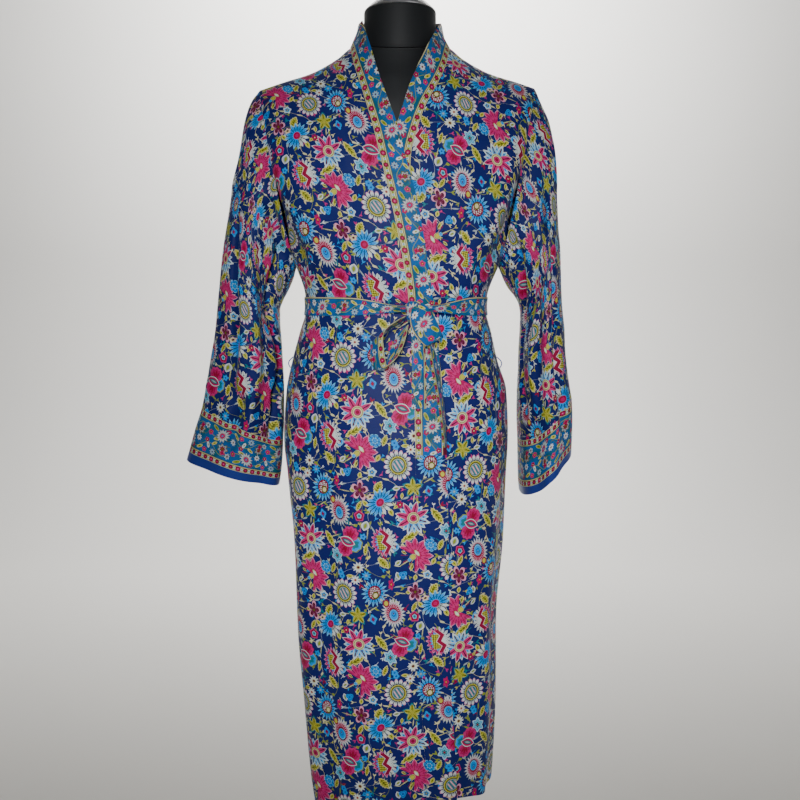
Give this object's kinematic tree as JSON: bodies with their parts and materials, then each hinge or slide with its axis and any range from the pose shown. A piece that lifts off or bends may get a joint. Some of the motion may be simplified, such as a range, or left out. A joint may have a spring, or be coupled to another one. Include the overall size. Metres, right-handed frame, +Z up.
{
  "type": "kimono robe on a limbless dress form with a pole and a round base",
  "caption": "Long wrap robe of kimono cut, with a neckband, wide sleeves with border cuffs and a tied belt, worn by a limbless dress form on a pole and a round base.",
  "frame": {"origin": "centre of the round base, on the floor under it", "axes": "+Z up, the robe's front faces -Y, the wearer's left is at +X"},
  "size_m": [0.6505, 0.38, 1.4854],
  "materials": {
    "print": "soft sheen, floral print on dark blue",
    "border": "soft sheen, border print on bright blue",
    "plain": "soft sheen, plain dark blue",
    "jersey": "matt black cover",
    "metal": "polished",
    "black_metal": "satin black"
  },
  "bodies": {
    "root": {"back": "print", "front_right": "print", "front_left": "print", "band_right": "border", "band_left": "border", "band_right_lower": "print", "band_left_lower": "print", "sleeve_right": "print", "sleeve_left": "print", "cuff_border_right": "border", "cuff_border_left": "border", "cuff_edge_right": "plain", "cuff_edge_left": "plain", "belt_waist": "border", "belt_knot": "border", "belt_bow_right": "border", "belt_bow_left": "border", "belt_tail_right": "border", "belt_tail_left": "border", "carrier_right": "plain", "carrier_left": "plain", "form_torso": "jersey", "form_neck": "jersey", "form_neck_cap": "metal", "form_pole": "metal", "form_base": "black_metal"}
  },
  "joints": []
}
